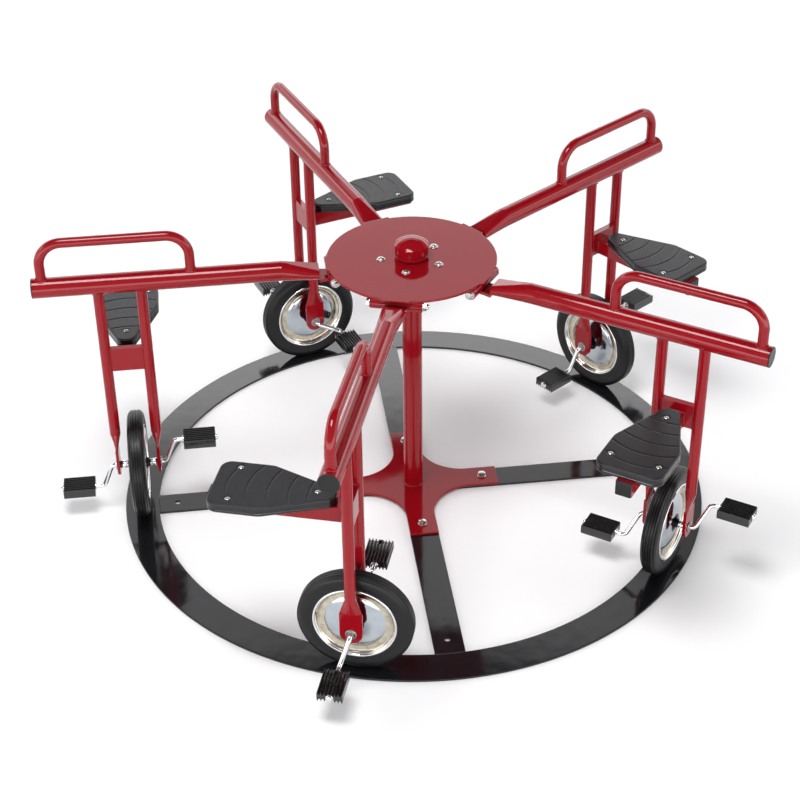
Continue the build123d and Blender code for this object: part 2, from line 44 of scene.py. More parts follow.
STATIONS = 5
FIRST_ARM_DEG = 36.0
CRANK_DEG = [97.0, 23.0, -95.0, -107.0, 57.0]
BAR_COUNT = 4

TRACK_OUTER, TRACK_INNER, FLAT_T = 785.0, 695.0, 6.0
BAR_WIDTH, BAR_INNER_END = 76.0, 46.0
ANCHOR_R, ANCHOR_HOLE_R = 645.0, 7.0
CROSS_REACH, CROSS_TOP, CROSS_FILLET, CROSS_BOLT_R = 232.0, 12.0, 115.0, 190.0
EDGE_ROUND = 0.9                    # paint rounds every cut edge of the plates
FLAT_MARGIN = 0.8

POST_R = 25.4
PLATE_R, PLATE_UNDER, PLATE_TOP = 216.0, 712.0, 718.0
TAB_REACH, TAB_HALF = 220.0, 36.0
HUB_BOLT_CIRCLE, HUB_BORE = 78.0, 21.5
CAP_R, CAP_NECK_R, CAP_NECK_H, CAP_SIDE_H, CAP_RISE = 43.5, 38.0, 8.0, 31.0, 16.0
FLANGE_UNDER = 704.0

HINGE_R, HINGE_Z, KNUCKLE_OUT = 200.0, 698.0, 65.3
BOOM_R, BOOM_Z, BOOM_TIP = 25.4, 705.0, 951.0
STATION_R, AXLE_Z = 736.0, 148.3
HANDLE_R, HANDLE_XS = 12.7, (556.0, 924.5)
LEG_R, LEG_SPACING, PADDLE_T = 14.0, 107.0, 8.0
BRACKET_LOW, BRACKET_HIGH, BRACKET_HALF = 449.0, 515.0, 8.0
BRACKET_SWING = 33.5                # half the angle of a leg that the bracket covers
BAR_HALF, BAR_Z, BAR_PLUG_Y = 20.0, 470.0, -337.0
STRAP_TOP, STRAP_Y = 494.0, -275.0

SADDLE_BASE, SADDLE_TOP = 490.0, 514.0
SADDLE_CORNERS = [(0, -325), (84, -325), (84, -200), (20, -36), (0, -36)]
SADDLE_RADII = [0, 28, 45, 22, 0]
SADDLE_EDGE, SADDLE_WALL = 5.0, 4.0
NOSE_SHARE = 0.72                   # of the edge's width, where the side meets the nose
SADDLE_SCREWS = [(0.0, -80.0), (-60.0, -275.0), (60.0, -275.0)]
GROOVE_APEX_Y = [-292.0, -243.0, -194.0, -145.0, -100.0]
GROOVE_BEND_R, GROOVE_HALF, GROOVE_DEEP = 150.0, 1.9, 1.3

TYRE_R, BEAD_R = 142.0, 103.2
FINISH_FROM = (23.0, 75.5, 94.5)    # radii where the disc, the channel and the lip of a rim begin
CRANK_R, CRANK_XS, CRANK_BEND = 70.0, (72.0, 98.0), 15.0
ROD_R, ROD_END = 6.0, 214.3
PEDAL_X, PEDAL_L, PEDAL_W, PEDAL_T = 165.0, 84.0, 62.0, 25.0
PEDAL_RIBS, RIB_W, RIB_DEEP = 8, 3.8, 6.0


# ------------------------------------------------------------ materials


def linear(code):
    # sRGB hex to linear
    parts = [int(code[i : i + 2], 16) / 255 for i in (1, 3, 5)]
    return [c / 12.92 if c <= 0.04045 else ((c + 0.055) / 1.055) ** 2.4 for c in parts] + [1.0]


def add(tree, kind, settings=None, links=None):
    made = tree.nodes.new(kind)
    for key, value in (settings or {}).items():
        if isinstance(key, int) or key in made.inputs:
            made.inputs[key].default_value = value
        else:
            setattr(made, key, value)
    for key, (source, output) in (links or {}).items():
        tree.links.new(source.outputs[output], made.inputs[key])
    return made


def material(name, dark, light, blotch_mm, rough, rough_mm, bumps, **sockets):
    # colour drifts between two shades, roughness between two values, and each bump is
    # (texture node, size in mm, height in mm, its other settings)
    made = bpy.data.materials.new(name)
    made.use_nodes = True
    tree = made.node_tree
    shader = tree.nodes["Principled BSDF"]
    where = (add(tree, "ShaderNodeTexCoord"), "Object")
    cloud = add(tree, "ShaderNodeTexNoise", {"Scale": 1 / (blotch_mm * MM), "Detail": 3.0}, {"Vector": where})
    shades = {"data_type": "RGBA", 6: linear(dark), 7: linear(light)}
    tone = add(tree, "ShaderNodeMix", shades, {0: (cloud, 0)})
    tree.links.new(tone.outputs[2], shader.inputs["Base Color"])
    smear = add(tree, "ShaderNodeTexNoise", {"Scale": 1 / (rough_mm * MM), "Detail": 4.0}, {"Vector": where})
    spread = {"From Min": 0.3, "From Max": 0.7, "To Min": rough[0], "To Max": rough[1]}
    dull = add(tree, "ShaderNodeMapRange", spread, {"Value": (smear, 0)})
    tree.links.new(dull.outputs[0], shader.inputs["Roughness"])
    normal = None
    for kind, size, height, settings in bumps:
        texture = add(tree, kind, {"Scale": 1 / (size * MM), **settings}, {"Vector": where})
        links = {"Height": (texture, 0)}
        if normal:
            links["Normal"] = (normal, 0)
        normal = add(tree, "ShaderNodeBump", {"Strength": 1.0, "Distance": height * MM}, links)
    if normal:
        tree.links.new(normal.outputs[0], shader.inputs["Normal"])
        tree.links.new(normal.outputs[0], shader.inputs["Coat Normal"])
    for key, value in sockets.items():
        shader.inputs[key.replace("_", " ")].default_value = value
    return made


NOISE, CELLS = "ShaderNodeTexNoise", "ShaderNodeTexVoronoi"
SOFT = {"Detail": 1.0}

# Polyester powder coat on steel, cured glossy: deep red with clear reflections that
# waver a little over its orange peel.
red = material(
    "red_gloss_powder_coat", "#820812", "#8c0a16", 90, (0.06, 0.10), 40,
    [(NOISE, 34, 0.16, SOFT), (NOISE, 6, 0.012, SOFT)],
    IOR=1.5, Specular_IOR_Level=0.37,
)
# The same powder coat in black on flat bar and plate: a wavy dark mirror, with a few
# fine scuffs that dull it.
black = material(
    "black_gloss_powder_coat", "#131316", "#18181b", 120, (0.06, 0.12), 25,
    [(NOISE, 46, 0.22, SOFT), (NOISE, 7, 0.014, SOFT)],
    IOR=1.5, Specular_IOR_Level=0.5,
)
# Bright nickel-chrome plate on bent rod: a nearly clean mirror.
chrome = material(
    "bright_chrome_plate", "#dcdcde", "#e6e6e8", 20, (0.04, 0.09), 9,
    [(NOISE, 12, 0.01, SOFT)], Metallic=1.0,
)
# Zinc plate on pressed and turned fasteners: pale, softly blurred, faintly mottled.
zinc = material(
    "zinc_plated_steel", "#b9bab8", "#d2d2cf", 7, (0.18, 0.34), 4,
    [(NOISE, 2.2, 0.02, {"Detail": 3.0})], Metallic=1.0,
)
# Pressed sheet steel with bright plate: mirror-like but rippled by the press. Its colour drifts in 60 mm
# patches from blue-grey to pale: a painted reflection of dark and bluish surroundings.
rim_steel = material(
    "bright_pressed_rim_steel", "#8e99a3", "#d3d9dd", 60, (0.06, 0.14), 12,
    [(NOISE, 26, 0.16, SOFT), (NOISE, 5, 0.012, SOFT)], Metallic=1.0,
)
# The rolled lip keeps a whiter polish than the pressed dish.
lip_steel = material(
    "polished_rim_lip_steel", "#dedddb", "#edecea", 30, (0.08, 0.16), 12,
    [(NOISE, 9, 0.02, SOFT)], Metallic=1.0,
)
# Steel in the channel of the rim, straw to brown in patches: the brown tint is a painted reflection of its
# surroundings.
channel_reflection_steel = material(
    "channel_steel_painted_reflection", "#8f8064", "#efe9da", 20, (0.14, 0.28), 9,
    [(NOISE, 14, 0.10, SOFT), (NOISE, 3, 0.02, {"Detail": 3.0})], Metallic=1.0,
)
# Blackened steel of the hub nut and disc round the axle: dark, satin.
blackened = material(
    "blackened_steel", "#1c1b1c", "#2a292a", 12, (0.26, 0.4), 6,
    [(NOISE, 4, 0.02, SOFT)], Metallic=1.0,
)
# Turned steel left bare at the bushes: grey with a fine satin.
turned = material(
    "turned_bare_steel", "#8d8d8c", "#a3a29e", 10, (0.25, 0.4), 5,
    [(NOISE, 1.5, 0.01, SOFT)], Metallic=1.0,
)
# Sintered bronze bush: warm and matt.
bronze = material(
    "sintered_bronze", "#8f6a3c", "#a87f4b", 6, (0.38, 0.55), 3,
    [(NOISE, 0.8, 0.01, SOFT)], Metallic=1.0,
)
# Solid moulded rubber tyre: charcoal, low sheen, rubbed paler in patches.
tyre_rubber = material(
    "moulded_tyre_rubber", "#0a0a0c", "#131316", 22, (0.3, 0.42), 15,
    [(NOISE, 9, 0.05, {"Detail": 4.0}), (NOISE, 1.6, 0.03, SOFT)], IOR=1.5, Specular_IOR_Level=0.3,
)
# Softer ribbed pedal rubber: blacker, with a slight skin shine from the mould.
pedal_rubber = material(
    "ribbed_pedal_rubber", "#0a0a0b", "#131314", 14, (0.16, 0.28), 8,
    [(NOISE, 2.0, 0.03, {"Detail": 2.0})], IOR=1.5, Specular_IOR_Level=0.75,
)
# Moulded polypropylene saddle with a leather grain. The real grain is about 1 mm;
# it is drawn at 2.6 mm so that it shows.
saddle_plastic = material(
    "grained_moulded_polypropylene", "#131216", "#1b1a1e", 26, (0.36, 0.48), 6,
    [(CELLS, 2.6, 0.16, {"feature": "SMOOTH_F1"}), (NOISE, 1.1, 0.04, {"Detail": 3.0})], IOR=1.49,
    Specular_IOR_Level=0.38,
)
# Smooth side of the same moulding, shinier than the grained top.
skirt_plastic = material(
    "smooth_moulded_polypropylene", "#101113", "#17181a", 30, (0.18, 0.28), 14,
    [(NOISE, 14, 0.05, SOFT)], IOR=1.49,
)
# Moulded polyethylene end plugs: dark, satin.
plug_plastic = material(
    "satin_moulded_polyethylene", "#0a0a0c", "#111114", 12, (0.3, 0.42), 6,
    [(NOISE, 3.0, 0.02, {"Detail": 2.0})], IOR=1.51, Specular_IOR_Level=0.35,
)


# ------------------------------------------------------------ mesh helpers

ALONG_Z = Matrix.Rotation(math.radians(-90), 4, "Y")     # local X becomes +Z
ALONG_Y = Matrix.Rotation(math.radians(90), 4, "Z")      # local X becomes +Y
HERE = Matrix.Identity(4)


def at(x, y, z):
    return Matrix.Translation((x, y, z))


def spin(degrees, axis="Z"):
    return Matrix.Rotation(math.radians(degrees), 4, axis)


def arc(cx, cy, radius, start, end, steps=8):
    # points on an arc, angles in degrees
    turns = [math.radians(start + (end - start) * k / steps) for k in range(steps + 1)]
    return [(cx + radius * math.cos(t), cy + radius * math.sin(t)) for t in turns]


def eased(points, steps=6):
    # a smooth curve through every point
    full = [points[0], *points, points[-1]]
    out = []
    for a, b, c, d in zip(full, full[1:], full[2:], full[3:]):
        for k in range(steps):
            t = k / steps
            out.append(
                tuple(
                    0.5
                    * (
                        2 * q
                        + (r - p) * t
                        + (2 * p - 5 * q + 4 * r - s) * t * t
                        + (3 * q - p - 3 * r + s) * t**3
                    )
                    for p, q, r, s in zip(a, b, c, d)
                )
            )
    return [*out, points[-1]]


def skin(bm, rings, closed=False):
    # quads between neighbouring rings of the same length; a ring of one point is a pole
    pairs = list(zip(rings, rings[1:])) + ([(rings[-1], rings[0])] if closed else [])
    for a, b in pairs:
        count = max(len(a), len(b))
        for k in range(count):
            m = (k + 1) % count
            corners = []
            for v in (a[k % len(a)], a[m % len(a)], b[m % len(b)], b[k % len(b)]):
                if v not in corners:
                    corners.append(v)
            if len(corners) > 2:
                bm.faces.new(corners)


def turned_form(bm, profile, where=HERE, closed=False, steps=96):
    # a profile of (distance along X, radius) turned about local X
    rings = []
    for along, radius in profile:
        count = 1 if radius < 1e-6 else steps
        turns = [2 * math.pi * k / steps for k in range(count)]
        ring = [Vector((along, radius * math.cos(t), radius * math.sin(t))) for t in turns]
        rings.append([bm.verts.new(where @ p) for p in ring])
    skin(bm, rings, closed)


def tube(bm, path, radius, where=HERE, closed=False, sides=20, ripple=0.0):
    # a round bar along a path; ripple roughens its radius as a weld bead
    points = [Vector(p) for p in path]
    count = len(points)
    rings = []
    side = None
    for k, p in enumerate(points):
        before = points[k - 1] if k or closed else p
        after = points[(k + 1) % count] if k + 1 < count or closed else p
        along = (after - before).normalized()
        side = along.orthogonal() if side is None else side - along * side.dot(along)
        side.normalize()
        other = along.cross(side)
        r = radius * (1 + ripple * math.sin(2.4 * k) + ripple * noise.noise(p * 0.4))
        turns = [2 * math.pi * j / sides for j in range(sides)]
        ring = [p + (side * math.cos(t) + other * math.sin(t)) * r for t in turns]
        rings.append([bm.verts.new(where @ q) for q in ring])
    skin(bm, rings, closed)
    if not closed:
        bm.faces.new(rings[0])
        bm.faces.new(rings[-1])


def hex_form(bm, flats, height, where=HERE, bore=0.0, corner=0.94):
    # a hexagonal head or nut along local X, its top corners turned off at 30 degrees
    steps = 72
    turns = [2 * math.pi * k / steps for k in range(steps)]
    reach = [flats / 2 / math.cos((t + math.pi / 6) % (math.pi / 3) - math.pi / 6) for t in turns]
    flat_r = flats / 2 * corner
    drop = [(r - flat_r) * math.tan(math.radians(30)) for r in reach]

    def ring(radii, heights):
        return [
            bm.verts.new(where @ Vector((h, r * math.cos(t), r * math.sin(t))))
            for t, r, h in zip(turns, radii, heights)
        ]

    rings = [ring([bore] * steps, [0.0] * steps)] if bore else [[bm.verts.new(where @ Vector((0, 0, 0)))]]
    rings.append(ring(reach, [0.0] * steps))
    rings.append(ring(reach, [height - d for d in drop]))
    rings.append(ring([flat_r] * steps, [height] * steps))
    if bore:
        rings.append(ring([bore] * steps, [height] * steps))
    else:
        rings.append([bm.verts.new(where @ Vector((height, 0, 0)))])
    skin(bm, rings, closed=bool(bore))


def washer(bm, outer, inner, thick, where=HERE, edge=0.3):
    half = [(0, inner), (0, outer - edge), (edge, outer)]
    half += [(thick - edge, outer), (thick, outer - edge), (thick, inner)]
    turned_form(bm, half, where, closed=True, steps=48)


def outward(loop):
    # for each point of a closed counter-clockwise loop, the outward mitre
    out = []
    count = len(loop)
    for k in range(count):
        (ax, ay), (bx, by), (cx, cy) = loop[k - 1], loop[k], loop[(k + 1) % count]
        first = Vector((by - ay, ax - bx)).normalized()
        second = Vector((cy - by, bx - cx)).normalized()
        mean = (first + second).normalized()
        out.append(mean / max(0.5, mean.dot(first)))
    return out


def plate(bm, loops, low, high, edge=EDGE_ROUND):
    # flat plate with paint-rounded edges; the first loop is the outline and runs
    # counter-clockwise, the others are holes and run clockwise
    # the innermost ring at each level keeps the flat faces flat in their shading
    flat = edge + FLAT_MARGIN
    levels = [(flat, low), (edge, low), (edge * 0.3, low + edge * 0.3), (0, low + edge), (0, high - edge)]
    levels += [(edge * 0.3, high - edge * 0.3), (edge, high), (flat, high)]
    ends = []
    for loop in loops:
        out = outward(loop)
        rings = [
            [bm.verts.new((p[0] - n.x * inset, p[1] - n.y * inset, z)) for p, n in zip(loop, out)]
            for inset, z in levels
        ]
        skin(bm, rings)
        ends.append((rings[0], rings[-1]))
    for end in (0, 1):
        edges = []
        for pair in ends:
            ring = pair[end]
            edges += [bm.edges.get((ring[k - 1], ring[k])) for k in range(len(ring))]
        bmesh.ops.triangle_fill(bm, use_beauty=True, use_dissolve=True, edges=edges)


def circle_loop(x, y, radius, steps=32, clockwise=False):
    loop = arc(x, y, radius, 0, 360, steps)[:-1]
    return loop[::-1] if clockwise else loop


def turned_loop(loop, degrees):
    c, s = math.cos(math.radians(degrees)), math.sin(math.radians(degrees))
    return [(x * c - y * s, x * s + y * c) for x, y in loop]


def rounded_path(corners, radii, spacing):
    # an open path with its corners rounded: (x, y, outward x, outward y) for each point
    legs = []
    for k, (corner, radius) in enumerate(zip(corners, radii)):
        p = Vector(corner)
        if radius == 0:
            legs.append([p])
            continue
        u = (Vector(corners[k - 1]) - p).normalized()
        w = (Vector(corners[k + 1]) - p).normalized()
        half = u.angle(w) / 2
        centre = p + (u + w).normalized() * radius / math.sin(half)
        start = p + u * radius / math.tan(half) - centre
        end = p + w * radius / math.tan(half) - centre
        steps = max(4, round(radius * start.angle(end) / spacing))
        legs.append([centre + start.slerp(end, j / steps) * radius for j in range(steps + 1)])
    path = [legs[0][0]]
    for leg in legs[1:]:
        gap = leg[0] - path[-1]
        steps = max(1, round(gap.length / spacing))
        base = path[-1]
        path += [base + gap * j / steps for j in range(1, steps + 1)]
        path += leg[1:]
    return path


def mesh_of(name, bm, look, sharp=32, weld=True):
    if weld:
        bmesh.ops.remove_doubles(bm, verts=bm.verts, dist=0.002)
    bmesh.ops.recalc_face_normals(bm, faces=bm.faces)
    bmesh.ops.scale(bm, vec=(MM, MM, MM), verts=bm.verts)
    mesh = bpy.data.meshes.new(name)
    bm.to_mesh(mesh)
    bm.free()
    for one in look if isinstance(look, list) else [look]:
        mesh.materials.append(one)
    mesh.shade_smooth()
    mesh.set_sharp_from_angle(angle=math.radians(sharp))
    return mesh


def put(mesh, name, body, where=HERE, stands_for=()):
    # the place's own movement is in millimetres; the place is worked into the mesh, and
    # the object itself stays at the origin
    metres = where.copy()
    metres.translation = where.translation * MM
    placed = mesh.copy()
    placed.transform(metres)
    piece = bpy.data.objects.new(name, placed)
    bpy.context.scene.collection.objects.link(piece)
    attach(piece, body)
    if stands_for:
        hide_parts(*stands_for)
    return piece


def station_turn(n):
    return spin(FIRST_ARM_DEG + 360 / STATIONS * n)


# ------------------------------------------------------------ base


def track_ring():
    bm = bmesh.new()
    e = EDGE_ROUND
    f = e + FLAT_MARGIN
    section = [(0, TRACK_INNER + f), (0, TRACK_INNER + e), (e, TRACK_INNER), (FLAT_T - e, TRACK_INNER)]
    section += [(FLAT_T - 0.3 * e, TRACK_INNER + 0.3 * e), (FLAT_T, TRACK_INNER + e)]
    section += [(FLAT_T, TRACK_INNER + f), (FLAT_T, TRACK_OUTER - f), (FLAT_T, TRACK_OUTER - e)]
    section += [(FLAT_T - 0.3 * e, TRACK_OUTER - 0.3 * e)]
    section += [(FLAT_T - e, TRACK_OUTER), (e, TRACK_OUTER), (0, TRACK_OUTER - e), (0, TRACK_OUTER - f)]
    turned_form(bm, section, ALONG_Z, closed=True, steps=288)
    return mesh_of("track_ring", bm, black)


def radial_bars():
    bm = bmesh.new()
    half = BAR_WIDTH / 2
    swing = math.degrees(math.asin(half / TRACK_INNER))
    end = arc(0, 0, TRACK_INNER - 0.05, -swing, swing, 12)
    outline = [(BAR_INNER_END, -half), *end, (BAR_INNER_END, half)]
    hole = circle_loop(ANCHOR_R, 0, ANCHOR_HOLE_R, clockwise=True)
    for k in range(BAR_COUNT):
        turn = 360 / BAR_COUNT * k
        plate(bm, [turned_loop(outline, turn), turned_loop(hole, turn)], 0, FLAT_T)
    return mesh_of("radial_bars", bm, black)


def base_cross():
    bm = bmesh.new()
    half = BAR_WIDTH / 2
    centre = half + CROSS_FILLET
    outline = []
    for k in range(BAR_COUNT):
        fillet = arc(centre, centre, CROSS_FILLET, 270, 180, 24)
        quarter = [(CROSS_REACH, -half), (CROSS_REACH, half), *fillet]
        outline += turned_loop(quarter, 360 / BAR_COUNT * k)
    plate(bm, [outline], FLAT_T + 0.05, CROSS_TOP)
    return mesh_of("base_cross", bm, red)


def base_bolts():
    bm = bmesh.new()
    for k in range(BAR_COUNT):
        place = spin(360 / BAR_COUNT * k) @ at(CROSS_BOLT_R, 0, CROSS_TOP) @ ALONG_Z
        washer(bm, 12.0, 5.0, 2.0, place, edge=0.6)
        turned = spin(23 * k, "X")
        hex_form(bm, 19.0, 7.0, place @ at(2.0, 0, 0) @ turned, corner=0.9)
        turned_form(bm, [(8.0, 7.4), (9.2, 6.6), (10.0, 4.4), (10.3, 0.0)], place, steps=48)
    return mesh_of("base_bolts", bm, zinc)


def post_weld(name, body, height):
    # a weld bead round the post or its sleeve
    bm = bmesh.new()
    path = [(x, y, height) for x, y in circle_loop(0, 0, POST_R + 0.8, 120)]
    tube(bm, path, 2.6, closed=True, sides=10, ripple=0.12)
    put(mesh_of(name, bm, red), name, body)


put(track_ring(), "track_ring_flat", "base", stands_for=["track_ring"])
put(radial_bars(), "radial_flat_bars", "base", stands_for=["radial_bars"])
put(base_cross(), "base_cross_plate", "base", stands_for=["base_cross"])
put(base_bolts(), "base_bolt_heads", "base", stands_for=["base_bolts"])
post_weld("post_foot_weld", "base", CROSS_TOP + 0.6)


# ------------------------------------------------------------ hub


def hub_plate():
    bm = bmesh.new()
    outline = []
    swing = math.degrees(math.asin(TAB_HALF / PLATE_R))
    for n in range(STATIONS):
        rim = arc(0, 0, PLATE_R, swing, 360 / STATIONS - swing, 40)
        part = [(TAB_REACH, -TAB_HALF), (TAB_REACH, TAB_HALF), *rim]
        outline += turned_loop(part, FIRST_ARM_DEG + 360 / STATIONS * n)
    bore = circle_loop(0, 0, HUB_BORE, clockwise=True)
    plate(bm, [outline, bore], PLATE_UNDER, PLATE_TOP)
    return mesh_of("hub_plate", bm, red)


def hub_cap():
    bm = bmesh.new()
    rim_z = CAP_NECK_H + CAP_SIDE_H
    profile = [(0.0, CAP_NECK_R), (CAP_NECK_H - 1.2, CAP_NECK_R), (CAP_NECK_H, CAP_NECK_R + 1.2)]
    profile += [(CAP_NECK_H + 0.2, CAP_R - 1.5), (CAP_NECK_H + 1.2, CAP_R), (CAP_NECK_H + 3.6, CAP_R)]
    profile += [(CAP_NECK_H + 4.4, CAP_R - 0.7), (rim_z - 3.4, CAP_R - 0.7)]
    profile += [(rim_z - 2.6, CAP_R), (rim_z, CAP_R)]
    ball = (CAP_R * CAP_R + CAP_RISE * CAP_RISE) / (2 * CAP_RISE)
    for k in range(1, 15):
        r = CAP_R * (1 - k / 14)
        profile.append((rim_z + CAP_RISE - ball + math.sqrt(ball * ball - r * r), r))
    turned_form(bm, profile, at(0, 0, PLATE_TOP) @ ALONG_Z, steps=128)
    return mesh_of("hub_cap", bm, red, sharp=40)


def dome_bolt(bm, where, head_r, head_h, washer_r):
    # button head with a hexagonal socket, on a washer
    washer(bm, washer_r, head_r * 0.6, 1.2, where, edge=0.4)
    crown = [(1.2, head_r), (2.0, head_r)]
    for t in (0.4, 0.8, 1.2, 1.57):
        crown.append((2.0 + (head_h - 2.0) * math.sin(t), 3.4 + (head_r - 3.4) * math.cos(t)))
    crown += [(head_h, 2.9), (head_h - 2.2, 2.7), (head_h - 2.6, 0.0)]
    turned_form(bm, crown, where, steps=48)


def hub_bolts():
    bm = bmesh.new()
    for n in range(STATIONS):
        place = station_turn(n) @ at(HUB_BOLT_CIRCLE, 0, 0)
        dome_bolt(bm, place @ at(0, 0, PLATE_TOP) @ ALONG_Z, 9.0, 5.5, 11.0)
        under = place @ at(0, 0, FLANGE_UNDER) @ spin(180, "X") @ ALONG_Z
        hex_form(bm, 17.0, 8.0, under)
        turned_form(bm, [(7.5, 5.0), (9.6, 5.0), (10.0, 4.4), (10.0, 0)], under, steps=32)
    return mesh_of("hub_bolts", bm, zinc)


def hinge_bolts():
    bm = bmesh.new()
    for n in range(STATIONS):
        axis = station_turn(n) @ at(HINGE_R, 0, HINGE_Z)
        tail = axis @ at(0, KNUCKLE_OUT, 0) @ ALONG_Y
        head = axis @ at(0, -KNUCKLE_OUT, 0) @ spin(180) @ ALONG_Y
        for end in (head, tail):
            washer(bm, 12.0, 5.0, 2.0, end, edge=0.4)
        hex_form(bm, 19.0, 7.5, head @ at(2.0, 0, 0) @ spin(17, "X"))
        hex_form(bm, 19.0, 7.6, tail @ at(2.0, 0, 0) @ spin(8, "X"))
        collar = [(9.4, 8.0), (11.6, 7.6), (13.0, 7.0), (13.0, 6.0), (15.0, 6.0), (15.5, 5.4), (15.5, 0)]
        turned_form(bm, collar, tail, steps=40)
        turned_form(bm, [(-2 * KNUCKLE_OUT, 6.0), (0, 6.0)], tail, steps=24)
    return mesh_of("hinge_bolts", bm, zinc)


put(hub_plate(), "hub_top_plate", "rotor", stands_for=["hub_plate"])
put(hub_cap(), "hub_domed_cap", "rotor", stands_for=["hub_cap"])
put(hub_bolts(), "hub_button_bolts", "rotor", stands_for=["hub_bolts"])
put(hinge_bolts(), "hinge_bolt_set", "rotor", stands_for=["hinge_bolts"])
post_weld("flange_weld", "rotor", FLANGE_UNDER - 0.6)


# ------------------------------------------------------------ saddle


def saddle_mesh():
    # half the outline of the top, drawn in by the rounding of its edge
    e = SADDLE_EDGE
    rear_y, (wide, wide_y), (slim, nose_y) = SADDLE_CORNERS[0][1], *SADDLE_CORNERS[2:4]
    corners = [(0, rear_y + e), (wide - e, rear_y + e), (wide - e, wide_y)]
    corners += [(slim - e * NOSE_SHARE, nose_y - e), (0, nose_y - e)]
    rows = rounded_path(corners, [max(0, r - e) for r in SADDLE_RADII], 2.0)
    # the straight rear and front edges become the first and last rows of the grid
    rear = [p for p in rows if abs(p.y - rows[0].y) < 1e-4]
    nose = [p for p in rows if abs(p.y - rows[-1].y) < 1e-4]
    side = rows[len(rear) - 1 : len(rows) - len(nose) + 1]
    columns = 72
    shares = [2 * j / columns - 1 for j in range(columns + 1)]

    def top_z(x, y):
        z = SADDLE_TOP
        for apex in GROOVE_APEX_Y:
            centre_y = apex + GROOVE_BEND_R
            off = abs(math.hypot(x, y - centre_y) - GROOVE_BEND_R)
            if y < centre_y and off < GROOVE_HALF:
                z = min(z, SADDLE_TOP - GROOVE_DEEP * (1 - (off / GROOVE_HALF) ** 2))
        for sx, sy in SADDLE_SCREWS:
            off = math.hypot(x - sx, y - sy)
            if 6.0 < off < 10.5:
                z = min(z, SADDLE_TOP - 1.4 * math.sin(math.pi * (off - 6.0) / 4.5))
        return z

    bm = bmesh.new()
    grid = [[bm.verts.new((p.x * s, p.y, top_z(p.x * s, p.y))) for s in shares] for p in side]
    floor = [[bm.verts.new((p.x * s, p.y, SADDLE_TOP - SADDLE_WALL)) for s in shares] for p in side]
    for layer in (grid, floor):
        for a, b in zip(layer, layer[1:]):
            for j in range(columns):
                bm.faces.new((a[j], a[j + 1], b[j + 1], b[j]))

    def border(layer):
        right, left = [row[-1] for row in layer[1:]], [row[0] for row in layer[-2:0:-1]]
        return [*layer[0], *right, *layer[-1][-2::-1], *left]

    rim, inner = border(grid), border(floor)
    mitres = outward([(v.co.x, v.co.y) for v in rim])
    depth = SADDLE_TOP - SADDLE_BASE
    section = [(e * math.sin(t), e * (1 - math.cos(t))) for t in (0.3, 0.6, 0.9, 1.2, math.pi / 2)]
    section += [(e - 0.2, depth - 8.6), (e - 1.0, depth - 8.0), (e - 1.0, depth - 7.2)]
    section += [(e + 0.2, depth - 6.4), (e + 0.4, depth - 3.0), (e, depth - 0.8)]
    section += [(e - 0.8, depth), (e - 2.6, depth), (e - 3.4, depth - 0.6), (e - 3.8, depth - 3.0)]
    section += [(e - 4.2, SADDLE_WALL + 3.0), (e - 5.0, SADDLE_WALL + 0.5)]
    rings = [rim]
    for reach, drop in section:
        z = SADDLE_TOP - drop
        ring = [(v.co.x + m.x * reach, v.co.y + m.y * reach, z) for v, m in zip(rim, mitres)]
        rings.append([bm.verts.new(p) for p in ring])
    rings.append(inner)
    skin(bm, rings)
    mesh = mesh_of("saddle_shell", bm, [saddle_plastic, skirt_plastic], sharp=45)
    low = (SADDLE_TOP - 3.2) * MM
    for face in mesh.polygons:
        face.material_index = int(face.center.z < low)
    return mesh


def saddle_screw_mesh():
    bm = bmesh.new()
    for x, y in SADDLE_SCREWS:
        top = at(x, y, SADDLE_TOP - 0.4) @ ALONG_Z
        head = [(0.0, 6.4), (0.9, 6.4), (1.8, 5.6), (2.6, 4.0), (3.0, 2.4), (1.6, 2.0), (1.4, 0.0)]
        turned_form(bm, head, top, steps=32)
        under = (BAR_Z + BAR_HALF if x == 0 else STRAP_TOP) - 8.0 - SADDLE_TOP
        turned_form(bm, [(0.0, 3.0), (under, 3.0), (under, 0.0)], top, steps=16)
    return mesh_of("saddle_screws", bm, zinc)


# ------------------------------------------------------------ wheel, crank and pedals


def tyre_mesh():
    half = [(17.4, 96.2), (17.4, 103.0), (19.2, BEAD_R), (20.6, 104.6)]
    half += [(20.9, 106.6), (20.4, 108.0), (20.8, 109.6)]
    wall = [(21.5, 113.0), (22.0, 118.5), (21.9, 124.0), (21.0, 129.5), (19.0, 134.0), (17.2, 136.6)]
    half += eased(wall, 3)
    half += [(16.9, 136.3), (16.3, 135.4), (15.6, 136.6), (15.2, 138.2), (14.0, 139.3), (12.6, 140.5)]
    for centre in (10.8, 3.6):
        groove = [(1.5, 0.0), (1.1, -0.7), (0.7, -2.2), (-0.7, -2.2), (-1.1, -0.7), (-1.5, 0.0)]
        half += [(centre + dx, TYRE_R - 0.35 + dr) for dx, dr in groove]
        half.append((centre - 3.6, TYRE_R - 0.1))
    half.pop()
    other = [(-x, r) for x, r in reversed(half)]
    bm = bmesh.new()
    turned_form(bm, half + [(0.0, TYRE_R - 0.05)] + other, closed=True, steps=144)
    return mesh_of("tyre", bm, tyre_rubber, sharp=38)


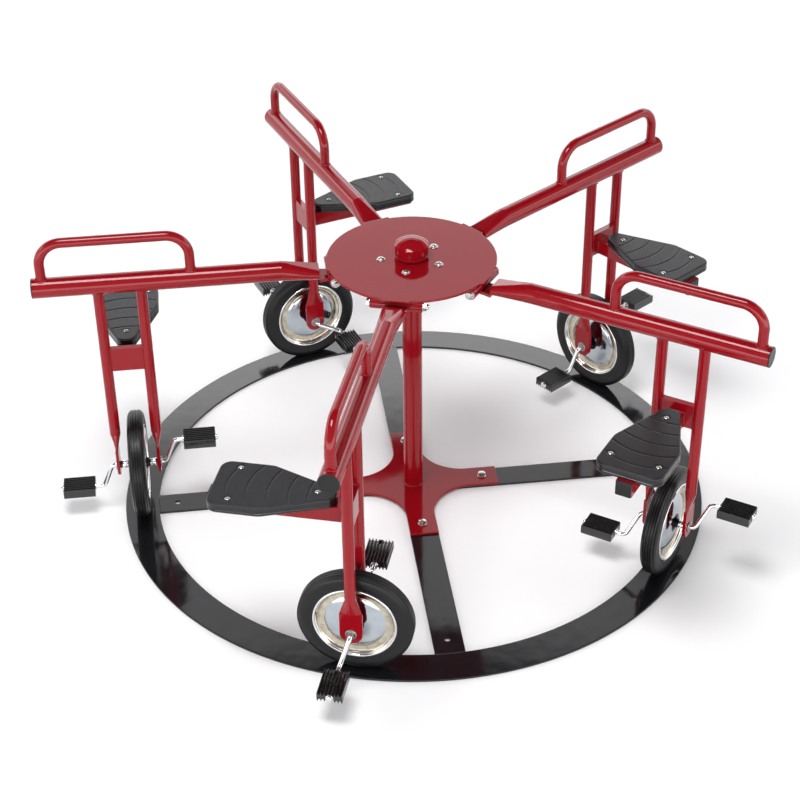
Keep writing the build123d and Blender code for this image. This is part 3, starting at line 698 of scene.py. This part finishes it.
def rim_mesh():
    bm = bmesh.new()
    swell = [(20.4, 12.5), (20.2, 26.0), (19.4, 42.0), (17.6, 56.0), (15.0, 66.0), (12.6, 71.5), (10.4, 75.0)]
    dome = eased(swell)
    channel = eased([(9.9, 77.5), (9.6, 82.5), (10.0, 87.5), (12.0, 91.5), (15.4, 94.0), (18.0, 96.6)])
    face = dome + channel + arc(18.0, 100.0, 3.2, -80, 150, 14)
    back = [(15.6, 97.2), (13.4, 96.2)]
    for side in (1, -1):
        profile = [(side * x, r) for x, r in face + back]
        turned_form(bm, profile, steps=120)
        nut = [(19.8, 17.0), (22.4, 16.4), (23.2, 14.6), (23.2, 12.4), (28.0, 12.0), (28.0, 6.0)]
        turned_form(bm, [(side * x, r) for x, r in nut], steps=64)
    band = [(-14.0, 96.1), (14.0, 96.1), (14.0, 93.0), (-14.0, 93.0)]
    turned_form(bm, band, closed=True, steps=96)
    # four shallow press marks in the channel of each face
    for side in (1, -1):
        for k in range(4):
            mark = spin(90 * k + 35, "X") @ at(side * 9.9, 82.5, 0) @ spin(90 * side, "Y") @ ALONG_Z
            turned_form(bm, [(0.0, 3.2), (0.7, 2.9), (1.0, 1.6), (1.1, 0.0)], mark, steps=20)
    mesh = mesh_of("rim", bm, [blackened, rim_steel, channel_reflection_steel, lip_steel], sharp=50)
    # the blotched dish and the brown-tinted channel carry painted reflections in their colour
    for face in mesh.polygons:
        out = math.hypot(face.center.y, face.center.z) / MM
        face.material_index = sum(out >= start for start in FINISH_FROM)
    return mesh


def rod_path():
    half = rounded_path(
        [(0, 0), (CRANK_XS[0], 0), (CRANK_XS[1], CRANK_R), (ROD_END, CRANK_R)],
        [0, CRANK_BEND, CRANK_BEND, 0],
        2.5,
    )
    right = [(p.x, p.y, 0.0) for p in half]
    left = [(-x, -y, z) for x, y, z in reversed(right[1:])]
    return left + right


def crank_mesh():
    bm = bmesh.new()
    tube(bm, rod_path(), ROD_R, sides=28)
    for side in (1, -1):
        flip = spin(180 if side < 0 else 0)
        collar = [(28.0, 6.1), (28.0, 9.4), (28.8, 10.0), (48.4, 10.0), (49.2, 9.4), (49.2, 6.1)]
        turned_form(bm, collar, flip, closed=True, steps=48)
        spindle = flip @ at(0, CRANK_R, 0)
        inner_face = PEDAL_X - PEDAL_L / 2 - 0.3
        washer(bm, 9.5, 5.5, 2.5, spindle @ at(inner_face - 2.5, 0, 0), edge=0.5)
        washer(bm, 9.5, 5.5, 1.6, spindle @ at(ROD_END - 7.0, 0, 0), edge=0.4)
        crown = [(-5.4, 7.6), (-2.2, 7.6), (-0.9, 6.6), (-0.1, 4.0), (0.0, 0.0)]
        turned_form(bm, [(ROD_END + x, r) for x, r in crown], spindle, steps=40)
    return mesh_of("crank", bm, chrome, sharp=40)


def pedal_mesh():
    # two ribbed rubber blocks joined as one section, ribs along the spindle
    core = PEDAL_T / 2 - RIB_DEEP
    top = PEDAL_T / 2
    pitch = (PEDAL_W - RIB_W) / (PEDAL_RIBS - 1)
    upper = []
    for k in range(PEDAL_RIBS):
        middle = -PEDAL_W / 2 + RIB_W / 2 + pitch * k
        foot, crest = RIB_W / 2, RIB_W / 2 - 0.8
        upper += [(middle - foot, core), (middle - crest, top - 0.6), (middle - crest + 0.5, top)]
        upper += [(middle + crest - 0.5, top), (middle + crest, top - 0.6), (middle + foot, core)]
    section = upper + [(-y, -z) for y, z in upper]
    bm = bmesh.new()
    half = PEDAL_L / 2
    stations = [(-half, 0.6), (-half + 0.8, 0.0), (half - 0.8, 0.0), (half, 0.6)]
    rings = []
    for x, inset in stations:
        shrink_y, shrink_z = 1 - inset / (PEDAL_W / 2), 1 - inset / top
        rings.append([bm.verts.new((x, y * shrink_y, z * shrink_z)) for y, z in section])
    skin(bm, rings)
    for ring in (rings[0], rings[-1]):
        edges = [bm.edges.get((ring[k - 1], ring[k])) for k in range(len(ring))]
        bmesh.ops.triangle_fill(bm, use_beauty=True, use_dissolve=True, edges=edges)
    for side in (1, -1):
        boss = [(half - 3.0, 10.5), (half, 10.5), (half + 0.2, 9.8), (half + 0.2, 6.2)]
        turned_form(bm, [(side * x, r) for x, r in boss], steps=32)
    return mesh_of("pedal", bm, pedal_rubber, sharp=30)


# ------------------------------------------------------------ welds, bushes and plugs on an arm


def joint_path(x0, branch_r, above):
    # where a vertical tube meets the round boom
    path = []
    for k in range(64):
        t = 2 * math.pi * k / 64
        y = (branch_r + 0.6) * math.sin(t)
        rise = math.sqrt((BOOM_R + 0.4) ** 2 - y * y)
        path.append((x0 + (branch_r + 0.6) * math.cos(t), y, BOOM_Z + (rise if above else -rise)))
    return path


def arm_welds():
    bm = bmesh.new()
    for x in HANDLE_XS:
        tube(bm, joint_path(x, HANDLE_R, True), 2.3, closed=True, sides=10, ripple=0.14)
    for side in (1, -1):
        x = STATION_R + side * LEG_SPACING / 2
        tube(bm, joint_path(x, LEG_R, False), 2.4, closed=True, sides=10, ripple=0.14)
        middle = 180 if side > 0 else 0
        curve = arc(x, 0, LEG_R + 0.5, middle - BRACKET_SWING, middle + BRACKET_SWING, 10)
        path = [(px, py, BRACKET_LOW) for px, py in curve]
        path += [(*curve[-1], BRACKET_LOW + j * (BRACKET_HIGH - BRACKET_LOW) / 24) for j in range(1, 24)]
        path += [(px, py, BRACKET_HIGH) for px, py in reversed(curve)]
        path += [(*curve[0], BRACKET_HIGH + j * (BRACKET_LOW - BRACKET_HIGH) / 24) for j in range(1, 24)]
        tube(bm, path, 1.7, closed=True, sides=8, ripple=0.14)
    corners = [(STATION_R - BAR_HALF, BAR_Z - BAR_HALF), (STATION_R + BAR_HALF, BAR_Z - BAR_HALF)]
    corners += [(STATION_R + BAR_HALF, BAR_Z + BAR_HALF), (STATION_R - BAR_HALF, BAR_Z + BAR_HALF)]
    square = []
    for (ax, az), (bx, bz) in zip(corners, corners[1:] + corners[:1]):
        square += [(ax + (bx - ax) * j / 14, -BRACKET_HALF - 0.3, az + (bz - az) * j / 14) for j in range(14)]
    tube(bm, square, 2.2, closed=True, sides=8, ripple=0.14)
    for side in (1, -1):
        x = STATION_R + side * BAR_HALF
        line = [(x, STRAP_Y - 18 + 36 * j / 14, BAR_Z + BAR_HALF) for j in range(15)]
        tube(bm, line, 1.8, sides=8, ripple=0.14)
    return mesh_of("arm_welds", bm, red, sharp=60)


def bush_mesh():
    # a raised ring on the free face of each fork paddle
    bm = bmesh.new()
    for side in (1, -1):
        face = STATION_R + side * (LEG_SPACING / 2 + PADDLE_T / 2)
        ring = [(0.0, 6.2), (0.0, 13.6), (0.6, 14.0), (1.8, 14.0)]
        ring += [(3.0, 12.4), (3.0, 8.6), (2.2, 7.8), (2.2, 6.2)]
        turned_form(bm, [(face + side * x, r) for x, r in ring], at(0, 0, AXLE_Z), closed=True, steps=56)
    return mesh_of("axle_bushes", bm, turned)


def plug_mesh():
    bm = bmesh.new()
    r = BOOM_R
    disc = [(-15.0, 0.0), (-15.0, r - 3.4), (-3.0, r - 3.1), (-3.0, r - 0.2)]
    disc += [(-2.6, r), (-1.6, r), *arc(-1.6, r - 1.6, 1.6, 90, 15, 5)]
    disc += [(0.0, r - 3.0), (-0.15, r - 6.0), (-0.2, 0.0)]
    turned_form(bm, disc, at(BOOM_TIP, 0, BOOM_Z), steps=72)
    rings = []
    for step, half in ((16, 17.2), (4.1, 17.3), (4.0, 20.0), (1.6, 20.0), (0.5, 19.4), (0.0, 18.0)):
        y = BAR_PLUG_Y + step
        corner = min(half, 2.6)
        loop = []
        for k, (sx, sz) in enumerate(((1, 1), (-1, 1), (-1, -1), (1, -1))):
            loop += arc(sx * (half - corner), sz * (half - corner), corner, 90 * k, 90 * k + 90, 5)
        rings.append([bm.verts.new((STATION_R + x, y, BAR_Z + z)) for x, z in loop])
    skin(bm, rings)
    bm.faces.new(rings[0])
    bm.faces.new(rings[-1])
    return mesh_of("end_plugs", bm, plug_plastic, sharp=35)


saddle, screws = saddle_mesh(), saddle_screw_mesh()
tyre, rim, crank, pedal = tyre_mesh(), rim_mesh(), crank_mesh(), pedal_mesh()
welds, bushes, plugs = arm_welds(), bush_mesh(), plug_mesh()

for n in range(STATIONS):
    k = n + 1
    arm, turn = f"arm_{k}", station_turn(n)
    over_seat = turn @ at(STATION_R, 0, 0)
    put(saddle, f"saddle_shell_{k}", arm, over_seat, [f"saddle_{k}"])
    put(screws, f"saddle_screws_{k}", arm, over_seat, [f"station_fittings_{k}"])
    put(bushes, f"axle_bush_rings_{k}", arm, turn)
    put(welds, f"arm_weld_beads_{k}", arm, turn)
    put(plugs, f"tube_end_plugs_{k}", arm, turn, [f"end_plugs_{k}"])
    level = turn @ at(STATION_R, 0, AXLE_Z)
    wheel = level @ spin(CRANK_DEG[n], "X")
    put(tyre, f"grooved_tyre_{k}", f"wheel_{k}", wheel, [f"tyre_{k}"])
    put(rim, f"pressed_rim_{k}", f"wheel_{k}", wheel, [f"rim_{k}"])
    put(crank, f"bent_crank_{k}", f"wheel_{k}", wheel, [f"crank_{k}"])
    for side, word in ((1, "outer"), (-1, "inner")):
        lean = math.radians(CRANK_DEG[n])
        offset = at(side * PEDAL_X, side * CRANK_R * math.cos(lean), side * CRANK_R * math.sin(lean))
        name, rider = f"ribbed_pedal_{word}_{k}", f"{word}_pedal_{k}"
        put(pedal, name, rider, level @ offset, [f"pedal_{word}_{k}"])

# CAD pieces that stay as they are take the same finishes
for name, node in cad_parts.items():
    if name.startswith(("arm_frame", "hub_sleeve", "hinge_knuckles", "centre_post")):
        look = red
    elif name.startswith("hub_bushes"):
        look = bronze
    elif name.startswith(("spindle", "station_fittings")):
        look = turned
    else:
        look = zinc
    node.data.materials.clear()
    node.data.materials.append(look)


# ------------------------------------------------------------ floor, light and camera

WALL_R, WALL_TOP = 4400.0, 7000.0
FLOOR_MARGIN = 0.02                 # metres between the floor and the wall
# brightness of the wall on its far side, at its foot, in a band, above the band and out
# to the sides of it, and on the near side at its foot and above
FAR_FOOT, FAR_BAND, FAR_UPPER, FAR_ASIDE = 1.3, 3.2, 1.3, 0.3
NEAR_FOOT, NEAR_UPPER = 3.8, 0.35
WALL_DARK_SHARE = 0.03
CAMERA_PLACE, CAMERA_AHEAD, CAMERA_ROLL = (-0.490, -3.896, 2.960), (0.0960, 0.8205, -0.5635), -0.73
LENS, SENSOR = 80.28, 36.0


def floor():
    bm = bmesh.new()
    bmesh.ops.create_circle(bm, cap_ends=True, segments=96, radius=WALL_R * MM - FLOOR_MARGIN)
    mesh = bpy.data.meshes.new("studio_floor")
    bm.to_mesh(mesh)
    bm.free()
    # Matt white paint: no shine, so that only soft shadows mark it.
    paint = material(
        "matt_white_floor", "#f6f6f7", "#f9f9f9", 600, (0.85, 0.9), 300, [], Specular_IOR_Level=0.0
    )
    mesh.materials.append(paint)
    made = bpy.data.objects.new("studio_floor", mesh)
    made.location.z = -0.0005
    bpy.context.scene.collection.objects.link(made)


def fall(tree, source, output, start, end, low, high):
    # a smooth change of one value with another
    steps = {"interpolation_type": "SMOOTHSTEP", "From Min": start, "From Max": end}
    steps |= {"To Min": low, "To Max": high}
    return add(tree, "ShaderNodeMapRange", steps, {"Value": (source, output)})


def studio_wall():
    # a glowing paper wall all round; its far side is brightest in a band 2 to 2.6 m up and
    # dark above 4.6 m, and on the near side only the foot is bright, so that the tubes keep
    # a dark core
    bm = bmesh.new()
    rings = []
    for z in (0.0, WALL_TOP):
        rings.append([bm.verts.new((x, y, z)) for x, y in circle_loop(0, 0, WALL_R, 96)])
    skin(bm, rings)
    # Paper lit from behind: an even glow with no shine of its own.
    paper = material(
        "backlit_white_paper", "#0c0c0c", "#101010", 900, (0.9, 0.95), 500, [], Specular_IOR_Level=0.0
    )
    tree = paper.node_tree
    shader = tree.nodes["Principled BSDF"]
    where = add(tree, "ShaderNodeTexCoord")
    parts = add(tree, "ShaderNodeSeparateXYZ", None, {0: (where, "Object")})
    foot = fall(tree, parts, "Z", 1.6, 2.1, FAR_FOOT, FAR_BAND)
    aside = add(tree, "ShaderNodeMath", {"operation": "ABSOLUTE"}, {0: (parts, "X")})
    narrow = fall(tree, aside, 0, 1.7, 2.4, FAR_UPPER, FAR_ASIDE)
    share = fall(tree, parts, "Z", 2.55, 3.0, 0.0, 1.0)
    upper = add(tree, "ShaderNodeMix", {"data_type": "FLOAT"}, {0: (share, 0), 2: (foot, 0), 3: (narrow, 0)})
    top = fall(tree, parts, "Z", 4.45, 4.85, 1.0, WALL_DARK_SHARE)
    far = add(tree, "ShaderNodeMath", {"operation": "MULTIPLY"}, {0: (upper, 0), 1: (top, 0)})
    near = fall(tree, parts, "Z", 1.0, 1.7, NEAR_FOOT, NEAR_UPPER)
    side = fall(tree, parts, "Y", -3.0, 0.4, 0.0, 1.0)
    glow = add(tree, "ShaderNodeMix", {"data_type": "FLOAT"}, {0: (side, 0), 2: (near, 0), 3: (far, 0)})
    tree.links.new(glow.outputs[0], shader.inputs["Emission Strength"])
    shader.inputs["Emission Color"].default_value = (0.985, 0.985, 1.0, 1.0)
    made = bpy.data.objects.new("studio_wall", mesh_of("studio_wall", bm, paper, weld=False))
    made.visible_camera = False
    bpy.context.scene.collection.objects.link(made)


def studio_world():
    # pale round the horizon, dark overhead
    world = bpy.data.worlds.new("studio")
    world.use_nodes = True
    tree = world.node_tree
    back = tree.nodes["Background"]
    where = add(tree, "ShaderNodeTexCoord")
    parts = add(tree, "ShaderNodeSeparateXYZ", None, {0: (where, "Generated")})
    sky = fall(tree, parts, "Z", 0.45, 0.8, 1.0, 0.06)
    tree.links.new(sky.outputs[0], back.inputs["Strength"])
    back.inputs["Color"].default_value = (1.0, 1.0, 1.0, 1.0)
    bpy.context.scene.world = world


def softbox(name, place, aim, width, height, power):
    light = bpy.data.lights.new(name, "AREA")
    light.shape = "RECTANGLE"
    light.size, light.size_y, light.energy = width, height, power
    made = bpy.data.objects.new(name, light)
    made.location = place
    made.rotation_euler = (Vector(aim) - Vector(place)).to_track_quat("-Z", "Y").to_euler()
    bpy.context.scene.collection.objects.link(made)


floor()
studio_wall()
studio_world()
softbox("key_softbox", place=(-0.9, -1.2, 4.6), aim=(0, 0, 0.4), width=2.0, height=1.4, power=130)

data = bpy.data.cameras.new("camera")
data.lens, data.sensor_width = LENS, SENSOR
camera = bpy.data.objects.new("camera", data)
ahead = Vector(CAMERA_AHEAD).normalized()
right = ahead.cross(Vector((0, 0, 1))).normalized()
up = right.cross(ahead)
roll = math.radians(CAMERA_ROLL)
level_right = right * math.cos(roll) + up * math.sin(roll)
level_up = up * math.cos(roll) - right * math.sin(roll)
pose = Matrix((level_right, level_up, -ahead)).transposed().to_4x4()
pose.translation = CAMERA_PLACE
camera.matrix_world = pose
bpy.context.scene.collection.objects.link(camera)
bpy.context.scene.camera = camera
bpy.context.scene.view_settings.view_transform = "Standard"
